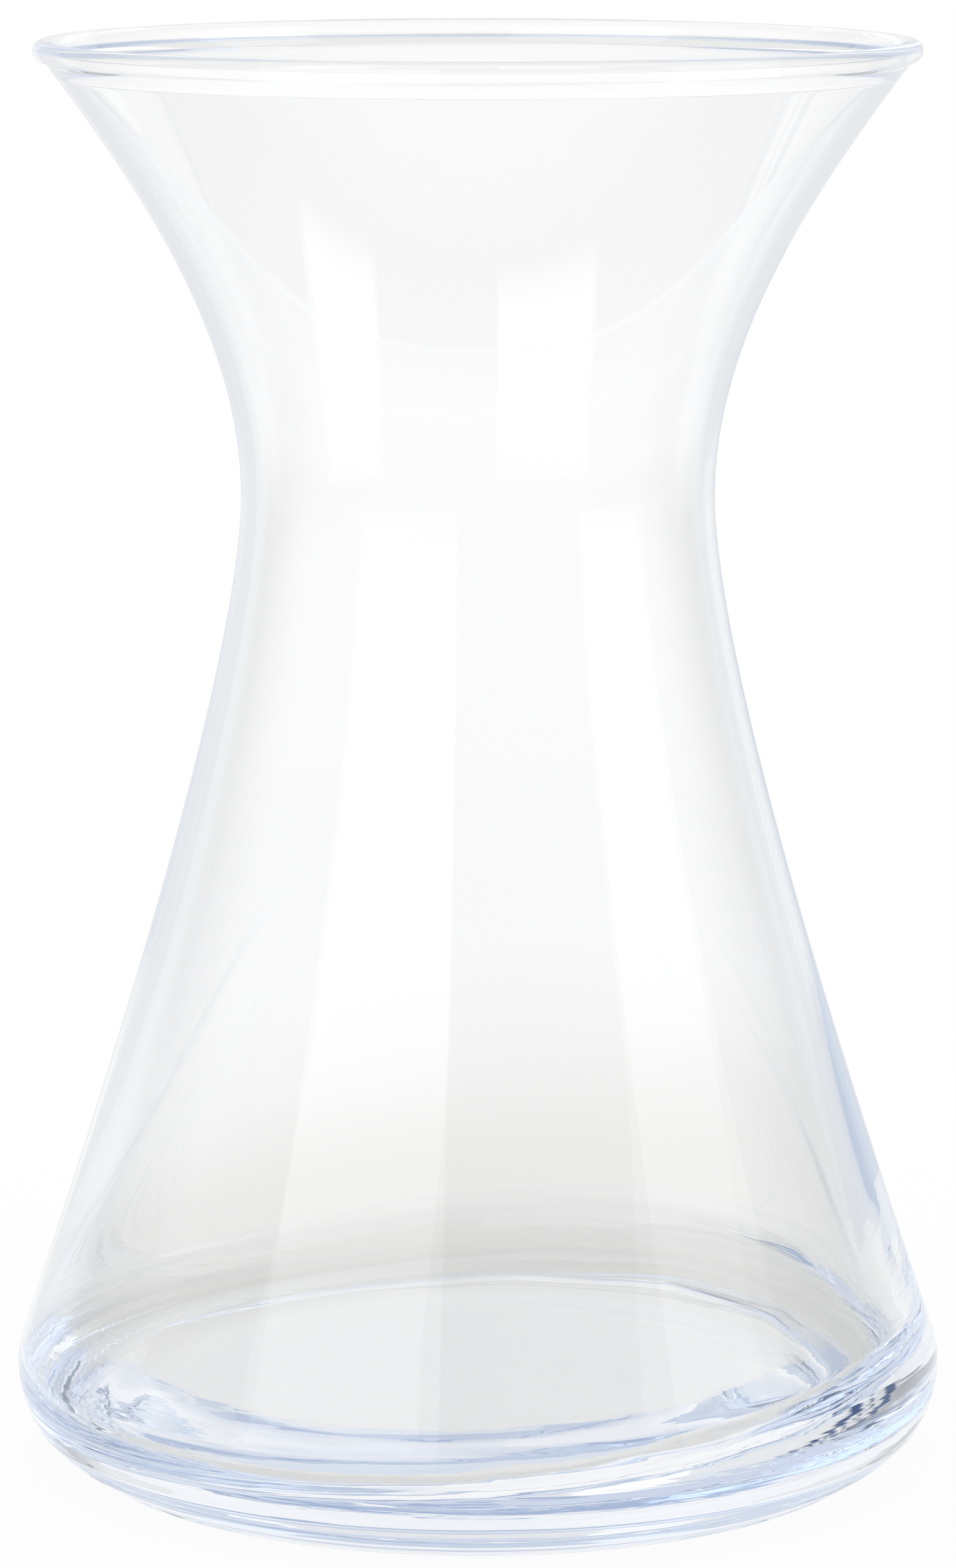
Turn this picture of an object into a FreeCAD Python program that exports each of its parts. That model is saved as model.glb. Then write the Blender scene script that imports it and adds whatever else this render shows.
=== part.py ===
import FreeCAD, Part
import math
import os

# A hyacinth forcing vase: one piece of clear glass, a wide flared cup that carries the bulb over a
# narrow waist, and a conical skirt below it that holds the water for the roots.
# Millimetres. The origin is the middle of the foot, on the surface that the vase stands on, +Z up.

# Outside of the glass
overall_height = 150.0
rim_radius = 46.0
waist_radius = 24.8
waist_height = 102.8
body_radius = 49.2
heel_radius = 9.8

# How the outside leans: away from upright at the rim, and in from upright above the heel
flare_lean = math.radians(36.7)
skirt_lean = math.radians(19.1)

# How far each curve keeps the direction of its end before it turns
cup_reach_at_waist = 16.6
cup_reach_at_rim = 15.7
skirt_reach_at_waist = 17.2
skirt_reach_at_heel = 28.7

# Thickness of the wall, square to the outside, and the fire-polished bead that ends it.
# The bead swells past each face of the wall.
rim_wall = 1.2
waist_wall = 1.4
heel_wall = 2.4
rim_swell = 0.5

# Floor of the water chamber: its edge is level, and its middle is pushed up
floor_height = 8.5
floor_rise = 1.5
floor_fillet = 4.5

# Underside: a level ring to stand on, which stands below the glass inside it. That glass is pushed up a
# little at its middle. Heights are from the surface that the ring stands on.
foot_radius = 42.5
foot_ring_width = 3.6
recess_height = 0.5
push_up = 0.65

# How much of a rise stays level at its edge and again at its middle
level_share = 0.42


def at(radius, height):
    """A point of the profile, in the plane of the axis."""
    return FreeCAD.Vector(radius, 0, height)


def bezier(start, start_handle, end_handle, end):
    curve = Part.BezierCurve()
    curve.setPoles([start, start_handle, end_handle, end])
    return curve.toShape()


def rise_to_middle(edge_radius, edge_height, middle_height):
    """A smooth rise, level at its edge and level again on the axis."""
    edge_handle = at(edge_radius * (1 - level_share), edge_height)
    middle_handle = at(edge_radius * level_share, middle_height)
    return bezier(at(edge_radius, edge_height), edge_handle, middle_handle, at(0, middle_height))


def vase_profile():
    """The section of the glass on one side of the axis, as one closed wire."""
    up_flare = at(math.sin(flare_lean), math.cos(flare_lean))
    out_of_flare = at(math.cos(flare_lean), -math.sin(flare_lean))
    up_skirt = at(-math.sin(skirt_lean), math.cos(skirt_lean))
    out_of_skirt = at(math.cos(skirt_lean), math.sin(skirt_lean))
    up = at(0, 1)

    # Rim bead, and the two lines where the wall runs into it
    bead_radius = rim_wall / 2 + rim_swell
    bead_middle = at(rim_radius - bead_radius, overall_height - bead_radius)
    lip_depth = math.sqrt(bead_radius ** 2 - (rim_wall / 2) ** 2)
    lip_middle = bead_middle - up_flare * lip_depth
    outer_lip = lip_middle + out_of_flare * (rim_wall / 2)
    inner_lip = lip_middle - out_of_flare * (rim_wall / 2)
    bead_top = bead_middle + up_flare * bead_radius
    bead_outside = bead_middle + out_of_flare * bead_radius
    bead_inside = bead_middle - out_of_flare * bead_radius

    # Waist, where both faces stand upright
    outer_waist = at(waist_radius, waist_height)
    inner_waist = at(waist_radius - waist_wall, waist_height)

    # Heel, rolled under until it meets the outer face of the foot ring
    heel_middle = at(body_radius - heel_radius, heel_radius)
    heel_top = heel_middle + out_of_skirt * heel_radius
    heel_side = heel_middle + at(math.cos(math.pi / 4), -math.sin(math.pi / 4)) * heel_radius
    foot_roll = math.acos((foot_radius - heel_middle.x) / heel_radius)
    heel_end = heel_middle + at(math.cos(foot_roll), -math.sin(foot_roll)) * heel_radius
    foot_outside = at(foot_radius, 0)
    foot_inside = at(foot_radius - foot_ring_width, 0)
    recess_edge = at(foot_inside.x, recess_height)

    # Floor fillet, which starts where the wall still has its thickness at the heel
    fillet_top_height = floor_height + floor_fillet * (1 + math.sin(skirt_lean))
    inner_heel = heel_top - out_of_skirt * heel_wall
    heel_to_fillet = (fillet_top_height - inner_heel.z) / math.cos(skirt_lean)
    fillet_top = inner_heel + up_skirt * heel_to_fillet
    fillet_middle = fillet_top - out_of_skirt * floor_fillet
    fillet_side = fillet_middle + at(math.cos(math.pi / 4), -math.sin(math.pi / 4)) * floor_fillet
    floor_edge = fillet_middle - up * floor_fillet

    edges = [
        bezier(
            outer_waist,
            outer_waist + up * cup_reach_at_waist,
            outer_lip - up_flare * cup_reach_at_rim,
            outer_lip,
        ),
        Part.Arc(outer_lip, bead_outside, bead_top).toShape(),
        Part.Arc(bead_top, bead_inside, inner_lip).toShape(),
        bezier(
            inner_lip,
            inner_lip - up_flare * cup_reach_at_rim,
            inner_waist + up * cup_reach_at_waist,
            inner_waist,
        ),
        bezier(
            inner_waist,
            inner_waist - up * skirt_reach_at_waist,
            fillet_top + up_skirt * (skirt_reach_at_heel - heel_to_fillet),
            fillet_top,
        ),
        Part.Arc(fillet_top, fillet_side, floor_edge).toShape(),
        rise_to_middle(floor_edge.x, floor_height, floor_height + floor_rise),
        Part.makeLine(at(0, floor_height + floor_rise), at(0, push_up)),
        rise_to_middle(recess_edge.x, recess_height, push_up),
        Part.makeLine(recess_edge, foot_inside),
        Part.makeLine(foot_inside, foot_outside),
        Part.makeLine(foot_outside, heel_end),
        Part.Arc(heel_end, heel_side, heel_top).toShape(),
        bezier(
            heel_top,
            heel_top + up_skirt * skirt_reach_at_heel,
            outer_waist - up * skirt_reach_at_waist,
            outer_waist,
        ),
    ]
    return Part.Wire(Part.__sortEdges__(edges))


def glass_vase():
    section = Part.Face(vase_profile())
    return section.revolve(FreeCAD.Vector(0, 0, 0), FreeCAD.Vector(0, 0, 1), 360)


os.makedirs("parts", exist_ok=True)
vase = glass_vase()
vase.exportStep("parts/glass_vase.step")
print("glass_vase: volume", round(vase.Volume / 1000, 1), "cm3, solids", len(vase.Solids))
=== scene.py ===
import math

import bpy
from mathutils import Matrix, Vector, noise


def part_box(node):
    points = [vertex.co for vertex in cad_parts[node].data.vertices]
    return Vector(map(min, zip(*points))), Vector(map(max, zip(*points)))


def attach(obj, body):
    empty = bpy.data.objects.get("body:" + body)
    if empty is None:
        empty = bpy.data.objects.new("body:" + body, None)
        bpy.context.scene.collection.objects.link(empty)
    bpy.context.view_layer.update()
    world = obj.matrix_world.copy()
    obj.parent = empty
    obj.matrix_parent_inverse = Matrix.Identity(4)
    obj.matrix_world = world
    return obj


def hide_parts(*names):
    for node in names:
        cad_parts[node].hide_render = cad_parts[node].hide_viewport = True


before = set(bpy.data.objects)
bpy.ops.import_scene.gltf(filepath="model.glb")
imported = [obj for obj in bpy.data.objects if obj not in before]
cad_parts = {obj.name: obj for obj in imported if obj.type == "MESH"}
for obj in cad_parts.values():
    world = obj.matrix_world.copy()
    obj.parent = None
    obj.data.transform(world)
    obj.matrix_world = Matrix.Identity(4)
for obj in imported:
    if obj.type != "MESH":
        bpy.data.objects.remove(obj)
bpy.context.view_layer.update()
node_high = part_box("glass_vase")[1]

MM = 0.001

# Outside of the glass, in metres. The height and the widest radius come from the frame.
HEIGHT = node_high[2]
BODY_RADIUS = min(node_high[0], node_high[1])
RIM_RADIUS = 46.0 * MM
WAIST_RADIUS = 24.8 * MM
WAIST_HEIGHT = 102.8 * MM
HEEL_RADIUS = 9.8 * MM
FLARE_LEAN = math.radians(36.7)
SKIRT_LEAN = math.radians(19.1)
CUP_REACH_AT_WAIST = 16.6 * MM
CUP_REACH_AT_RIM = 15.7 * MM
SKIRT_REACH_AT_WAIST = 17.2 * MM
SKIRT_REACH_AT_HEEL = 28.7 * MM

# Glass thickness, and the rim bead that swells past each face of the wall
RIM_WALL = 1.2 * MM
RIM_SWELL = 0.5 * MM
WAIST_WALL = 1.4 * MM
HEEL_WALL = 2.4 * MM

# Floor of the hollow, and how much of its radius leaves each end of its slope straight
FLOOR_HEIGHT = 10.0 * MM
FLOOR_RISE = 0.1 * MM
FLOOR_FILLET = 4.2 * MM
SLOPE_AT_EDGE = 0.33
LEVEL_IN_MIDDLE = 0.3

# Underside: the ring that the vase stands on, its rounded edges, and the recess inside it
FOOT_RADIUS = 42.5 * MM
FOOT_RING_WIDTH = 3.6 * MM
FOOT_EDGE = 0.4 * MM
FOOT_RECESS = 0.5 * MM
RECESS_ROUND = 0.6 * MM
PUSH_UP = 0.65 * MM
LEVEL_SHARE = 0.42

# The fine seam that the bottom plate of the mould leaves round the heel
SEAM_HEIGHT = 4.0 * MM
SEAM_WIDTH = 0.5 * MM
SEAM_SWELL = 0.08 * MM

# How the hollow sits in the glass, which ran to one side while hot: its floor leans up to the right, its
# edge droops most at the front and the left, and the whole bottom of it stands off the axis
FLOOR_LEAN_TO_RIGHT = 0.02
EDGE_DROOP = 1.5 * MM
DROOP_TO_LEFT = 1.0 * MM
DROOP_TO_FRONT = 1.5 * MM
DROOP_START = 33.0 * MM
DROOP_END = 41.0 * MM
HOLLOW_SHIFT = -1.5 * MM
SUNK_BELOW = 16.0 * MM
TRUE_ABOVE = 55.0 * MM

# Chill wrinkles of the inside: long ripples that lie level, deepest in the heel at the right of the front.
# Half of their depth is in the corner, and half reaches up the wall.
WRINKLE_LENGTH = 8.0 * MM
WRINKLE_WIDTH = 2.0 * MM
WRINKLE_DEPTH = 0.15 * MM
WRINKLES_MIDDLE = math.radians(-33)
WRINKLES_NEAR = math.radians(25)
WRINKLES_FAR = math.radians(75)
WRINKLES_FULL = 13.0 * MM
WRINKLES_TOP = 46.0 * MM

# Fine rings left by the making, in the front half of the corner between floor and wall
RING_LENGTH = 60.0 * MM
RING_WIDTH = 0.8 * MM
RING_DEPTH = 0.02 * MM
RINGS_FROM = 38.0 * MM
RINGS_TO = 17.0 * MM

# Turns of the glass about its axis, as a number of facets, and the points along each curve of its section,
# closest where the light bends most
FACETS = 300
CUP_STEPS = 20
SKIRT_STEPS = 28
HOLLOW_STEPS = 64
FILLET_STEPS = 32
FLOOR_STEPS = 20
BEAD_STEPS = 24
HEEL_STEPS = 16
BELOW_SEAM_STEPS = 18
FOOT_EDGE_STEPS = 6
FOOT_RING_STEPS = 4
RECESS_STEPS = 10
UNDERSIDE_STEPS = 20
SAME_POINT = 0.002 * MM


def at(radius, height):
    return Vector((radius, 0.0, height))


def bezier(start, start_handle, end_handle, end, steps):
    """Points along a curve, without its first one."""
    points = []
    for i in range(1, steps + 1):
        t = i / steps
        s = 1 - t
        points.append(
            start * s ** 3 + start_handle * 3 * s * s * t + end_handle * 3 * s * t * t + end * t ** 3
        )
    return points


def arc(middle, radius, start, end, steps):
    """Points along an arc between two angles above the radius line, without its first one."""
    points = []
    for i in range(1, steps + 1):
        angle = start + (end - start) * i / steps
        points.append(middle + at(math.cos(angle), math.sin(angle)) * radius)
    return points


def heel_and_foot(heel_middle):
    """Down the heel and over its mould seam, round the ring that the vase stands on, and in to the axis."""
    seam = math.asin((SEAM_HEIGHT - heel_middle.z) / HEEL_RADIUS)
    half_seam = SEAM_WIDTH / 2 / HEEL_RADIUS
    foot = -math.acos((FOOT_RADIUS - heel_middle.x) / HEEL_RADIUS)
    points = arc(heel_middle, HEEL_RADIUS, SKIRT_LEAN, seam + half_seam, HEEL_STEPS)
    for share in (-0.5, 0.0, 0.5):
        swell = SEAM_SWELL * (1 - share * share * 2)
        points += arc(heel_middle, HEEL_RADIUS + swell, seam, seam - half_seam * share, 1)
    points += arc(heel_middle, HEEL_RADIUS, seam, seam - half_seam, 1)
    points += arc(heel_middle, HEEL_RADIUS, seam - half_seam, foot, BELOW_SEAM_STEPS)

    ring_inside = FOOT_RADIUS - FOOT_RING_WIDTH
    third = FOOT_RING_WIDTH / 3
    outer_edge = at(FOOT_RADIUS, points[-1].z)
    outer_round = at(FOOT_RADIUS - FOOT_EDGE / 2, 0)
    ring_start = at(FOOT_RADIUS - FOOT_EDGE, 0)
    ring_end = at(ring_inside, 0)
    recess_edge = at(ring_inside - RECESS_ROUND, FOOT_RECESS)
    points += bezier(outer_edge, outer_round, outer_round, ring_start, FOOT_EDGE_STEPS)
    points += bezier(
        ring_start,
        at(FOOT_RADIUS - third, 0),
        at(ring_inside + third, 0),
        ring_end,
        FOOT_RING_STEPS,
    )
    points += bezier(
        ring_end,
        at(ring_inside - FOOT_EDGE, 0),
        at(ring_inside, FOOT_RECESS),
        recess_edge,
        RECESS_STEPS,
    )
    points += bezier(
        recess_edge,
        at(recess_edge.x * (1 - LEVEL_SHARE), FOOT_RECESS),
        at(recess_edge.x * LEVEL_SHARE, PUSH_UP),
        at(0, PUSH_UP),
        UNDERSIDE_STEPS,
    )
    return points


def vase_section():
    """The glass on one side of its axis: up the inside from the floor, over the rim and down outside."""
    up = at(0, 1)
    up_flare = at(math.sin(FLARE_LEAN), math.cos(FLARE_LEAN))
    out_of_flare = at(math.cos(FLARE_LEAN), -math.sin(FLARE_LEAN))
    up_skirt = at(-math.sin(SKIRT_LEAN), math.cos(SKIRT_LEAN))
    out_of_skirt = at(math.cos(SKIRT_LEAN), math.sin(SKIRT_LEAN))

    bead_radius = RIM_WALL / 2 + RIM_SWELL
    bead_middle = at(RIM_RADIUS - bead_radius, HEIGHT - bead_radius)
    lip_middle = bead_middle - up_flare * math.sqrt(bead_radius ** 2 - (RIM_WALL / 2) ** 2)
    outer_lip = lip_middle + out_of_flare * (RIM_WALL / 2)
    inner_lip = lip_middle - out_of_flare * (RIM_WALL / 2)

    outer_waist = at(WAIST_RADIUS, WAIST_HEIGHT)
    inner_waist = at(WAIST_RADIUS - WAIST_WALL, WAIST_HEIGHT)

    heel_middle = at(BODY_RADIUS - HEEL_RADIUS, HEEL_RADIUS)
    heel_top = heel_middle + out_of_skirt * HEEL_RADIUS

    fillet_top_height = FLOOR_HEIGHT + FLOOR_FILLET * (1 + math.sin(SKIRT_LEAN))
    inner_heel = heel_top - out_of_skirt * HEEL_WALL
    heel_to_fillet = (fillet_top_height - inner_heel.z) / math.cos(SKIRT_LEAN)
    fillet_top = inner_heel + up_skirt * heel_to_fillet
    fillet_middle = fillet_top - out_of_skirt * FLOOR_FILLET

    floor_edge = at(fillet_middle.x, FLOOR_HEIGHT)
    floor_middle = at(0, FLOOR_HEIGHT + FLOOR_RISE)
    edge_handle = floor_edge.lerp(floor_middle, SLOPE_AT_EDGE)
    middle_handle = at(floor_edge.x * LEVEL_IN_MIDDLE, floor_middle.z)
    cavity = [floor_edge] + bezier(floor_edge, edge_handle, middle_handle, floor_middle, FLOOR_STEPS)
    cavity.reverse()
    cavity += arc(fillet_middle, FLOOR_FILLET, -math.pi / 2, SKIRT_LEAN, FILLET_STEPS)
    cavity += bezier(
        fillet_top,
        fillet_top + up_skirt * (SKIRT_REACH_AT_HEEL - heel_to_fillet),
        inner_waist - up * SKIRT_REACH_AT_WAIST,
        inner_waist,
        HOLLOW_STEPS,
    )
    cavity += bezier(
        inner_waist,
        inner_waist + up * CUP_REACH_AT_WAIST,
        inner_lip - up_flare * CUP_REACH_AT_RIM,
        inner_lip,
        CUP_STEPS,
    )

    lip_angle = math.asin(RIM_WALL / 2 / bead_radius)
    down_the_flare = -math.pi / 2 - FLARE_LEAN
    inner_end = down_the_flare + 2 * math.pi - lip_angle
    outside = arc(bead_middle, bead_radius, inner_end, down_the_flare + lip_angle, BEAD_STEPS)
    outside += bezier(
        outer_lip,
        outer_lip - up_flare * CUP_REACH_AT_RIM,
        outer_waist + up * CUP_REACH_AT_WAIST,
        outer_waist,
        CUP_STEPS,
    )
    outside += bezier(
        outer_waist,
        outer_waist - up * SKIRT_REACH_AT_WAIST,
        heel_top + up_skirt * SKIRT_REACH_AT_HEEL,
        heel_top,
        SKIRT_STEPS,
    )
    outside += heel_and_foot(heel_middle)
    return cavity, outside


def spin_vase():
    """The section drawn as a chain of edges and spun once round the axis."""
    cavity, outside = vase_section()
    section = cavity + outside
    bpy.ops.object.select_all(action="DESELECT")
    bpy.ops.mesh.primitive_plane_add(size=MM, location=(0, 0, 0))
    vase = bpy.context.object
    vase.name = "vase_glass"
    bpy.ops.object.mode_set(mode="EDIT")
    bpy.ops.mesh.select_all(action="SELECT")
    bpy.ops.mesh.merge(type="CENTER")
    bpy.ops.transform.translate(value=section[0])
    for here, there in zip(section, section[1:]):
        bpy.ops.mesh.extrude_vertices_move(TRANSFORM_OT_translate={"value": there - here})
    bpy.ops.object.mode_set(mode="OBJECT")
    inside = vase.vertex_groups.new(name="inside")
    inside.add(range(len(cavity)), 1.0, "REPLACE")
    bpy.ops.object.mode_set(mode="EDIT")
    bpy.ops.mesh.select_all(action="SELECT")
    bpy.ops.mesh.spin(steps=FACETS, angle=2 * math.pi, center=(0, 0, 0), axis=(0, 0, 1))
    bpy.ops.mesh.select_all(action="SELECT")
    bpy.ops.mesh.remove_doubles(threshold=SAME_POINT)
    bpy.ops.mesh.normals_make_consistent(inside=False)
    bpy.ops.mesh.faces_shade_smooth()
    bpy.ops.object.mode_set(mode="OBJECT")
    return vase


def eased(share):
    """0 below 0, 1 above 1, and smooth between them."""
    share = min(max(share, 0), 1)
    return share * share * (3 - 2 * share)


def ripple_depth(place, around):
    """How far the chill wrinkles and the fine rings raise a point of the inside."""
    height = place.z
    across = math.hypot(place.x, place.y)

    # The same level ripples are met going out over the floor and then up the wall
    along = height + across
    level = place / WRINKLE_LENGTH
    ripple = noise.noise(Vector((level.x, level.y, along / WRINKLE_WIDTH)))
    on_wall = eased((WRINKLES_TOP - height) / (WRINKLES_TOP - WRINKLES_FULL))
    in_corner = eased((RINGS_TO - height) / FLOOR_FILLET)
    from_middle = abs(around - WRINKLES_MIDDLE)
    depth = WRINKLE_DEPTH * ripple * (on_wall + in_corner) / 2
    depth *= eased((across - RINGS_FROM) / (DROOP_END - RINGS_FROM))
    depth *= eased((WRINKLES_FAR - from_middle) / (WRINKLES_FAR - WRINKLES_NEAR))
    if across > RINGS_FROM and height < RINGS_TO and place.y < 0:
        level = place / RING_LENGTH
        depth += RING_DEPTH * noise.noise(Vector((level.x, level.y, along / RING_WIDTH)))
    return depth


def sink_hollow(vase):
    """The bottom of the hollow moved off the axis, drooped and rippled, with the outside left true."""
    inside = vase.vertex_groups["inside"].index
    faces_out = [point.normal.copy() for point in vase.data.vertices]
    for point, out in zip(vase.data.vertices, faces_out):
        if not any(group.group == inside for group in point.groups):
            continue
        height = point.co.z
        across = math.hypot(point.co.x, point.co.y)
        around = math.atan2(point.co.y, point.co.x)
        ripple = out * ripple_depth(point.co, around)

        share = eased((TRUE_ABOVE - height) / (TRUE_ABOVE - SUNK_BELOW))
        droop = EDGE_DROOP - DROOP_TO_LEFT * math.cos(around) - DROOP_TO_FRONT * math.sin(around)
        at_edge = eased((across - DROOP_START) / (DROOP_END - DROOP_START))
        drop = droop * at_edge - point.co.x * FLOOR_LEAN_TO_RIGHT

        # The corner sinks along the wall, so that the wall keeps its own thickness
        widen = at_edge * drop * math.tan(SKIRT_LEAN)
        point.co.x += share * (HOLLOW_SHIFT + widen * math.cos(around))
        point.co.y += share * widen * math.sin(around)
        point.co.z -= share * drop
        point.co += ripple


def linear(code):
    """An sRGB hex colour as linear red, green, blue and alpha."""
    values = [int(code[i:i + 2], 16) / 255 for i in (1, 3, 5)]
    return [v / 12.92 if v <= 0.04045 else ((v + 0.055) / 1.055) ** 2.4 for v in values] + [1.0]


# Sockets of a mix of two colours
FACTOR = 0
FIRST = 6
SECOND = 7
MIXED = 2


def add(tree, kind, inputs=None, stops=(), **settings):
    """A node with its settings. inputs gives a socket a value, or another node's output to link. stops gives
    a ramp its colours, each with its position from 0 to 1."""
    node = tree.nodes.new(kind)
    for name, value in settings.items():
        setattr(node, name, value)
    for name, value in (inputs or {}).items():
        if isinstance(value, bpy.types.NodeSocket):
            tree.links.new(value, node.inputs[name])
        else:
            node.inputs[name].default_value = value
    if stops:
        elements = node.color_ramp.elements
        elements.remove(elements[1])
        elements[0].position, elements[0].color = stops[0]
        for position, colour in stops[1:]:
            elements.new(position).color = colour
    return node


# Light that the glass has mirrored once, twice, and so often that it counts as kept in the glass
MIRRORED = 0.5
MIRRORED_AGAIN = 1.5
LONG_KEPT = 7.5

# Fire polish leaves the faces gently waved, with crests about 18 mm apart
WAVES_PER_METRE = 55.0
WAVE_STRENGTH = 0.1
WAVE_HEIGHT = 0.06 * MM

# Level lines, about 1 mm high and many times as long, that the mould leaves round the foot
LINES_PER_METRE = (50.0, 50.0, 900.0)
LINE_HEIGHT = 0.04 * MM
LINES_FULL_BELOW = 12.0 * MM
LINES_END = 22.0 * MM

# How strongly the glass bends light, the colour that it takes where it is thick, and how fast that comes
GLASS_IOR = 1.52
GLASS_TINT = (0.70, 0.78, 0.90, 1.0)
TINT_STRENGTH = 4.0


def clear_soda_lime_glass():
    """Blown and fire-polished clear soda-lime glass: colourless in the wall, faintly blue in the foot."""
    material = bpy.data.materials.new("clear soda-lime glass")
    material.use_nodes = True
    tree = material.node_tree
    tree.nodes.clear()
    out = add(tree, "ShaderNodeOutputMaterial")
    light = add(tree, "ShaderNodeLightPath")
    place = add(tree, "ShaderNodeTexCoord")

    waves = add(tree, "ShaderNodeTexNoise", {
        "Vector": place.outputs["Object"], "Scale": WAVES_PER_METRE, "Detail": 1.0,
    })
    bump = add(tree, "ShaderNodeBump", {
        "Height": waves.outputs["Fac"], "Strength": WAVE_STRENGTH, "Distance": WAVE_HEIGHT,
    })
    stretched = add(tree, "ShaderNodeMapping", {"Vector": place.outputs["Object"], "Scale": LINES_PER_METRE})
    lines = add(tree, "ShaderNodeTexNoise", {"Vector": stretched.outputs[0], "Scale": 1.0, "Detail": 2.0})
    parts = add(tree, "ShaderNodeSeparateXYZ", {0: place.outputs["Object"]})
    foot = add(tree, "ShaderNodeMapRange", {
        "Value": parts.outputs["Z"], "From Min": LINES_FULL_BELOW, "From Max": LINES_END,
        "To Min": 1.0, "To Max": 0.0,
    }, interpolation_type="SMOOTHSTEP")
    bump = add(tree, "ShaderNodeBump", {
        "Height": lines.outputs["Fac"], "Strength": foot.outputs[0], "Distance": LINE_HEIGHT,
        "Normal": bump.outputs["Normal"],
    })
    glass = add(tree, "ShaderNodeBsdfGlass", {
        "Color": linear("#FFFFFF"), "Roughness": 0.0, "IOR": GLASS_IOR, "Normal": bump.outputs["Normal"],
    })

    # Light kept long in the glass leaks out of it, and shadows let the lamp light through
    leaking = add(tree, "ShaderNodeBsdfTransparent", {"Color": linear("#E6ECF4")})
    passing = add(tree, "ShaderNodeBsdfTransparent", {"Color": linear("#F2F6F6")})
    long_kept = add(tree, "ShaderNodeMath", {
        0: light.outputs["Glossy Depth"], 1: LONG_KEPT,
    }, operation="GREATER_THAN")
    wall = add(tree, "ShaderNodeMixShader", {
        0: long_kept.outputs[0], 1: glass.outputs[0], 2: leaking.outputs[0],
    })
    surface = add(tree, "ShaderNodeMixShader", {
        0: light.outputs["Is Shadow Ray"], 1: wall.outputs[0], 2: passing.outputs[0],
    })
    tint = add(tree, "ShaderNodeVolumeAbsorption", {"Color": GLASS_TINT, "Density": TINT_STRENGTH})
    tree.links.new(surface.outputs[0], out.inputs["Surface"])
    tree.links.new(tint.outputs[0], out.inputs["Volume"])
    return material


# Camera at the photograph's viewing angle
CAMERA_DISTANCE = 0.6386
CAMERA_HEIGHT = 0.1816
CAMERA_DOWN = 0.1704
CAMERA_LENS = 140.84
CAMERA_SENSOR = 36.0


def make_camera():
    data = bpy.data.cameras.new("camera")
    data.sensor_width = CAMERA_SENSOR
    data.lens = CAMERA_LENS
    camera = bpy.data.objects.new("camera", data)
    bpy.context.scene.collection.objects.link(camera)
    camera.location = (0, -CAMERA_DISTANCE, CAMERA_HEIGHT)
    camera.rotation_euler = (math.pi / 2 - CAMERA_DOWN, 0, 0)
    bpy.context.scene.camera = camera


# The table, a round sheet a hair below the foot, and how much of it glows white, near the foot and far off
TABLE_RADIUS = 0.4
TABLE_SIDES = 96
TABLE_GAP = 0.02 * MM
SHADOW_FROM = 0.05
SHADOW_TO = 0.20
GLOW_AT_FOOT = 0.93

# How the table is shaded round the vase, as seen through the glass: metres from the axis and the colour there
SHADE_REACH = 0.26
TABLE_SHADE = [
    (0.0, "#F3F3F1"), (0.032, "#EFEFED"), (0.040, "#D3D3CF"), (0.050, "#D4D4D0"), (0.065, "#E5E5E2"),
    (0.085, "#EBEBE8"), (0.130, "#EEEEEC"), (0.180, "#F9F9F8"), (0.250, "#FEFEFE"),
]

# The blue shade under the foot, which its thick glass mirrors
UNDER_FOOT = [(0.0, "#8EA3C6"), (0.028, "#9FB2D2"), (0.040, "#CBD6E8"), (0.052, "#FFFFFF")]

# Past this distance the glass mirrors the room beyond the table
ROOM_FROM = 0.08
ROOM_TO = 0.16


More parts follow.
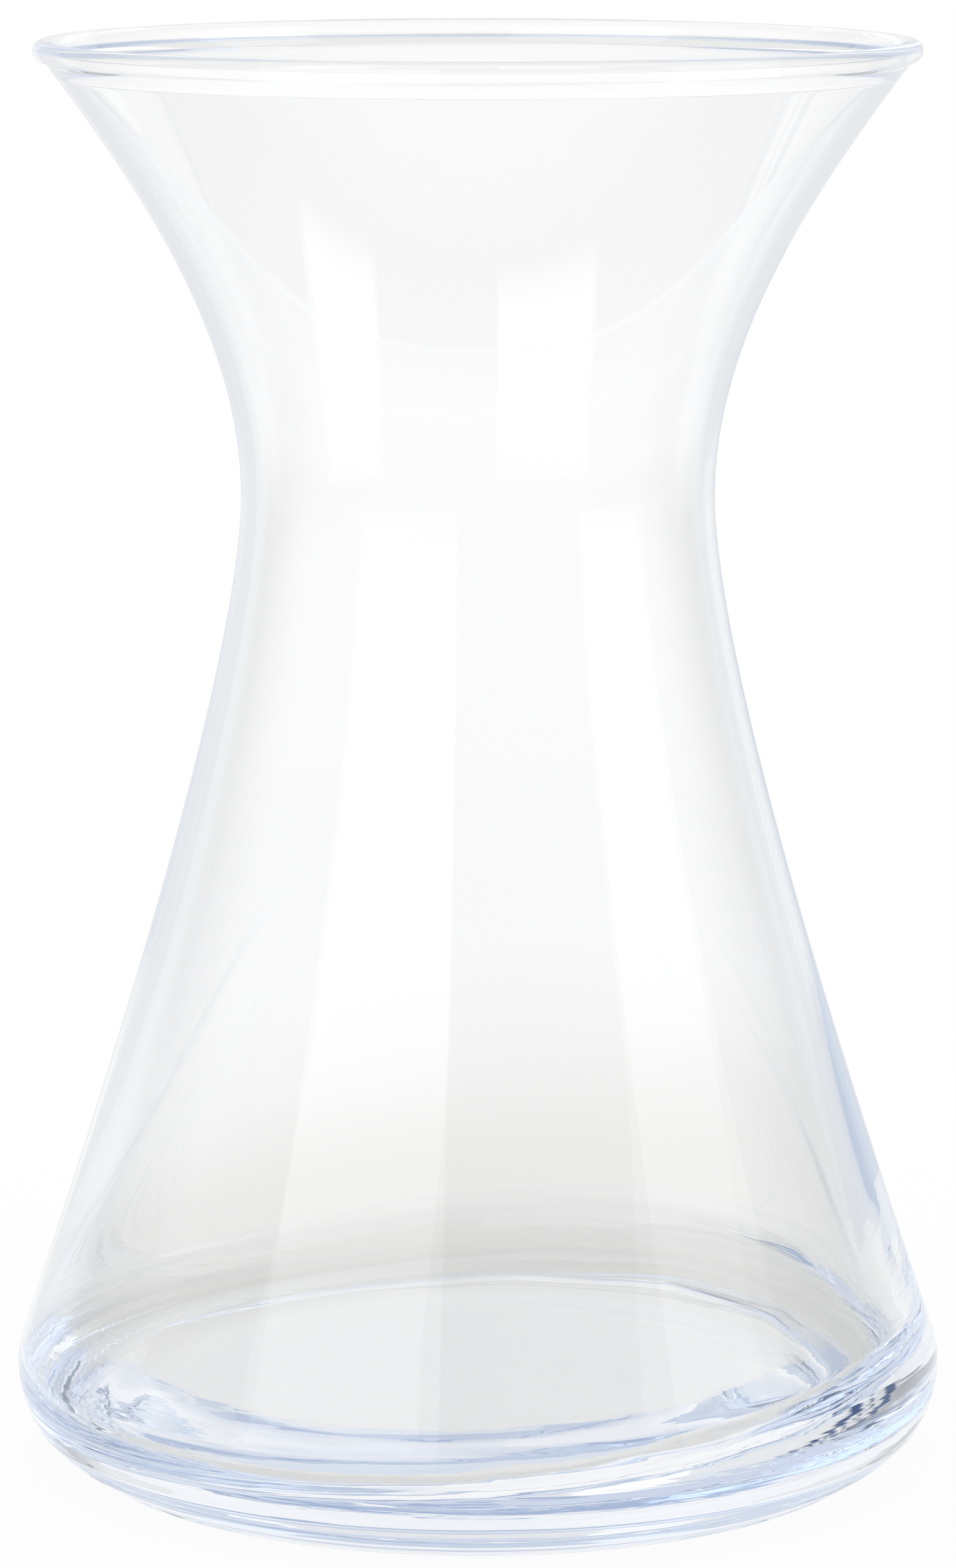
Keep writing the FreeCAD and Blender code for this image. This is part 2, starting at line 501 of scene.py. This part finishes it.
def make_floor():
    """A white table, white where it is seen straight on. Through the glass it shows painted shade round the
    foot, and a painted blue shade under the foot in light mirrored twice or more. A share of it takes the
    shadow.
    """
    bpy.ops.object.select_all(action="DESELECT")
    bpy.ops.mesh.primitive_circle_add(
        vertices=TABLE_SIDES, radius=TABLE_RADIUS, fill_type="NGON", location=(0, 0, -TABLE_GAP)
    )
    floor = bpy.context.object
    floor.name = "floor"
    material = bpy.data.materials.new("white table")
    material.use_nodes = True
    tree = material.node_tree
    tree.nodes.clear()
    out = add(tree, "ShaderNodeOutputMaterial")
    light = add(tree, "ShaderNodeLightPath")
    place = add(tree, "ShaderNodeTexCoord")
    away = add(tree, "ShaderNodeVectorMath", {0: place.outputs["Object"]}, operation="LENGTH")
    reach = add(tree, "ShaderNodeMath", {0: away.outputs["Value"], 1: SHADE_REACH}, operation="DIVIDE")

    # The colour of the table, by how the light came to it: painted shade round the foot through the glass,
    # painted blue shade under the foot after two or more mirrorings
    shades = []
    for shade in (TABLE_SHADE, UNDER_FOOT):
        stops = [(metres / SHADE_REACH, linear(code)) for metres, code in shade]
        ramp = add(tree, "ShaderNodeValToRGB", {"Fac": reach.outputs[0]}, stops)
        shades.append(ramp.outputs["Color"])
    colour, under_foot = shades
    white = linear("#FFFFFF")
    for times, shown in ((MIRRORED, white), (MIRRORED_AGAIN, under_foot), (LONG_KEPT, white)):
        more = add(tree, "ShaderNodeMath", {
            0: light.outputs["Glossy Depth"], 1: times,
        }, operation="GREATER_THAN")
        colour = add(tree, "ShaderNodeMix", {
            FACTOR: more.outputs[0], FIRST: colour, SECOND: shown,
        }, data_type="RGBA").outputs[MIXED]
    colour = add(tree, "ShaderNodeMix", {
        FACTOR: light.outputs["Is Camera Ray"], FIRST: colour, SECOND: white,
    }, data_type="RGBA").outputs[MIXED]

    paint = add(tree, "ShaderNodeBsdfDiffuse", {"Color": linear("#F4F4F2")})
    glow = add(tree, "ShaderNodeEmission", {"Color": colour, "Strength": 1.0})
    seen = add(tree, "ShaderNodeMath", {
        0: light.outputs["Is Camera Ray"], 1: light.outputs["Is Glossy Ray"],
    }, operation="MAXIMUM")
    seen = add(tree, "ShaderNodeMath", {
        0: seen.outputs[0], 1: light.outputs["Is Transmission Ray"],
    }, operation="MAXIMUM")
    far = add(tree, "ShaderNodeMapRange", {
        "Value": away.outputs["Value"], "From Min": SHADOW_FROM, "From Max": SHADOW_TO,
        "To Min": GLOW_AT_FOOT, "To Max": 1.0,
    }, interpolation_type="SMOOTHSTEP")
    share = add(tree, "ShaderNodeMath", {0: seen.outputs[0], 1: far.outputs["Result"]}, operation="MULTIPLY")
    surface = add(tree, "ShaderNodeMixShader", {0: share.outputs[0], 1: paint.outputs[0], 2: glow.outputs[0]})

    # What the glass mirrors past the table beside it is the room
    mirrored = add(tree, "ShaderNodeMath", {
        0: light.outputs["Glossy Depth"], 1: MIRRORED,
    }, operation="GREATER_THAN")
    beyond = add(tree, "ShaderNodeMapRange", {
        "Value": away.outputs["Value"], "From Min": ROOM_FROM, "From Max": ROOM_TO,
    }, interpolation_type="SMOOTHSTEP")
    beyond = add(tree, "ShaderNodeMath", {0: beyond.outputs[0], 1: mirrored.outputs[0]}, operation="MULTIPLY")
    gone = add(tree, "ShaderNodeBsdfTransparent", {"Color": white})
    surface = add(tree, "ShaderNodeMixShader", {
        0: beyond.outputs[0], 1: surface.outputs[0], 2: gone.outputs[0],
    })
    tree.links.new(surface.outputs[0], out.inputs["Surface"])
    floor.data.materials.append(material)


# What the glass mirrors of the room, by the height of the eye's line above the level, in degrees: in one
# reflection, and after more of them in the foot
ROOM_BY_ELEVATION = [
    (-19, 1.0), (-13, 0.76), (-8, 0.70), (2, 0.72), (10, 0.78),
    (20, 0.52), (27, 0.25), (45, 0.12), (60, 0.40), (75, 0.60),
]
FOOT_BY_ELEVATION = [
    (-12, 0.97), (8, 0.92), (13, 0.45), (22, 0.14), (30, 0.18),
    (35, 0.75), (46, 0.93), (52, 0.55), (58, 0.90), (80, 0.97),
]
ROOM_BEHIND = (0.87, 0.87, 0.86, 1.0)
FOOT_BEHIND = (0.56, 0.64, 0.77, 1.0)

# How the room's level falls in red, green and blue: warm in one reflection, blue after several in the foot
ROOM_WARM = (1.0, 1.01, 1.04)
ROOM_BLUE = (2.1, 1.5, 0.93)

# The front of the room in degrees to the right of the camera, its dimmer sides in degrees to either hand,
# and how high those sides are: from, to, and how softly each ends
FRONT_OF_ROOM = (-129, 133, 8)
SIDES_OF_ROOM = (100, 140, 12)
SIDES_HEIGHT = (-9, 20, 6)
SIDES_LEVEL = 0.55

# Soft boxes that the glass mirrors: from and to, in degrees to the right of the camera, and how bright,
# and how they brighten from their lower end up
SOFT_BOXES = [(-59, -10, 1.0), (51.5, 86, 1.1), (150, 162, 0.4), (-170, -160, 0.4)]
BOX_BY_ELEVATION = [
    (-11, 0.0), (-9, 0.25), (4, 0.40), (14, 0.60), (22, 0.90), (34, 0.95), (40, 0.50), (44, 0.0),
]
BOX_END = 0.6

# Dark gaps between the panels behind the glass, which draw the dark lines in its foot. They show only
# in light that has gone once into the glass and once out of it.
PANEL_GAPS = [(-131, -127.5), (-135.5, -134.5), (-140.5, -137.5), (131, 133)]
GAPS_HEIGHT = (9, 40, 2)
GAP_END = 0.8
IN_AND_OUT = 2.5


def make_world():
    """A white studio. Mirrored light also sees its dim room, with tall soft boxes in it."""
    world = bpy.data.worlds.new("studio")
    bpy.context.scene.world = world
    world.use_nodes = True
    tree = world.node_tree
    tree.nodes.clear()
    out = add(tree, "ShaderNodeOutputWorld")
    light = add(tree, "ShaderNodeLightPath")
    place = add(tree, "ShaderNodeTexCoord")
    split = add(tree, "ShaderNodeSeparateXYZ", {0: place.outputs["Generated"]})
    forward = add(tree, "ShaderNodeMath", {0: split.outputs["Y"], 1: -1.0}, operation="MULTIPLY")
    azimuth = add(tree, "ShaderNodeMath", {0: split.outputs["X"], 1: forward.outputs[0]}, operation="ARCTAN2")
    elevation = add(tree, "ShaderNodeMath", {0: split.outputs["Z"]}, operation="ARCSINE")
    height = add(tree, "ShaderNodeMapRange", {
        "Value": elevation.outputs[0], "From Min": -math.pi / 2, "From Max": math.pi / 2,
    })

    def band(value, low, high, soft):
        """1 where value lies between two angles in degrees, with soft edges."""
        rising = add(tree, "ShaderNodeMapRange", {
            "Value": value, "From Min": math.radians(low - soft), "From Max": math.radians(low + soft),
        }, interpolation_type="SMOOTHSTEP")
        falling = add(tree, "ShaderNodeMapRange", {
            "Value": value, "From Min": math.radians(high - soft), "From Max": math.radians(high + soft),
            "To Min": 1.0, "To Max": 0.0,
        }, interpolation_type="SMOOTHSTEP")
        both = add(tree, "ShaderNodeMath", {
            0: rising.outputs[0], 1: falling.outputs[0],
        }, operation="MULTIPLY")
        return both.outputs[0]

    def by_elevation(levels, powers=(1.0, 1.0, 1.0)):
        """The colour of each elevation, from a level that is raised to a power in red, green and blue."""
        stops = [
            ((degrees + 90) / 180, [level ** power for power in powers] + [1.0])
            for degrees, level in levels
        ]
        return add(tree, "ShaderNodeValToRGB", {"Fac": height.outputs[0]}, stops).outputs["Color"]

    aside = add(tree, "ShaderNodeMath", {0: azimuth.outputs[0]}, operation="ABSOLUTE")
    front = band(azimuth.outputs[0], *FRONT_OF_ROOM)
    beside = add(tree, "ShaderNodeMath", {
        0: band(aside.outputs[0], *SIDES_OF_ROOM), 1: band(elevation.outputs[0], *SIDES_HEIGHT),
    }, operation="MULTIPLY")
    rooms = []
    for levels, powers, side_level, behind in (
        (ROOM_BY_ELEVATION, ROOM_WARM, SIDES_LEVEL, ROOM_BEHIND),
        (FOOT_BY_ELEVATION, ROOM_BLUE, 1.0, FOOT_BEHIND),
    ):
        dimmed = add(tree, "ShaderNodeMapRange", {
            "Value": beside.outputs[0], "To Min": 1.0, "To Max": side_level,
        })
        room = add(tree, "ShaderNodeMix", {
            FACTOR: 1.0, FIRST: by_elevation(levels, powers), SECOND: dimmed.outputs[0],
        }, data_type="RGBA", blend_type="MULTIPLY").outputs[MIXED]
        rooms.append(add(tree, "ShaderNodeMix", {
            FACTOR: front, FIRST: behind, SECOND: room,
        }, data_type="RGBA").outputs[MIXED])

    gaps = 0.0
    for start, end in PANEL_GAPS:
        gap = band(azimuth.outputs[0], start, end, GAP_END)
        gaps = add(tree, "ShaderNodeMath", {0: gaps, 1: gap}).outputs[0]
    foot_only = add(tree, "ShaderNodeMath", {
        0: light.outputs["Transmission Depth"], 1: IN_AND_OUT,
    }, operation="LESS_THAN")
    for limit in (band(elevation.outputs[0], *GAPS_HEIGHT), foot_only.outputs[0]):
        gaps = add(tree, "ShaderNodeMath", {0: gaps, 1: limit}, operation="MULTIPLY").outputs[0]

    boxes = 0.0
    for start, end, strength in SOFT_BOXES:
        box = add(tree, "ShaderNodeMath", {
            0: band(azimuth.outputs[0], start, end, BOX_END), 1: strength,
        }, operation="MULTIPLY")
        boxes = add(tree, "ShaderNodeMath", {0: boxes, 1: box.outputs[0]}).outputs[0]
    boxes = add(tree, "ShaderNodeMix", {
        FACTOR: 1.0, FIRST: boxes, SECOND: by_elevation(BOX_BY_ELEVATION),
    }, data_type="RGBA", blend_type="MULTIPLY").outputs[MIXED]

    # The dim room, by how often the light was mirrored, then the boxes in it, and white where nothing mirrors
    mirrored, mirrored_again, long_kept = [
        add(tree, "ShaderNodeMath", {
            0: light.outputs["Glossy Depth"], 1: times,
        }, operation="GREATER_THAN").outputs[0]
        for times in (MIRRORED, MIRRORED_AGAIN, LONG_KEPT)
    ]
    colour, foot_room = rooms
    for factor, seen in (
        (mirrored_again, foot_room),
        (gaps, linear("#2E4E7C")),
        (long_kept, linear("#F2F3F9")),
    ):
        colour = add(tree, "ShaderNodeMix", {
            FACTOR: factor, FIRST: colour, SECOND: seen,
        }, data_type="RGBA").outputs[MIXED]
    colour = add(tree, "ShaderNodeMix", {
        FACTOR: 1.0, FIRST: colour, SECOND: boxes,
    }, data_type="RGBA", blend_type="ADD").outputs[MIXED]
    colour = add(tree, "ShaderNodeMix", {
        FACTOR: mirrored, FIRST: linear("#FFFFFF"), SECOND: colour,
    }, data_type="RGBA").outputs[MIXED]
    sky = add(tree, "ShaderNodeBackground", {"Color": colour, "Strength": 1.0})
    tree.links.new(sky.outputs[0], out.inputs["Surface"])


vase = spin_vase()
sink_hollow(vase)
vase.data.materials.append(clear_soda_lime_glass())
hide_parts("glass_vase")
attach(vase, "root")

make_floor()
make_world()
make_camera()
bpy.context.scene.view_settings.view_transform = "Standard"

# Light that the thick foot mirrors inside itself many times still finds its way out
bpy.context.scene.cycles.max_bounces = 40
bpy.context.scene.cycles.glossy_bounces = 32
bpy.context.scene.cycles.transmission_bounces = 32
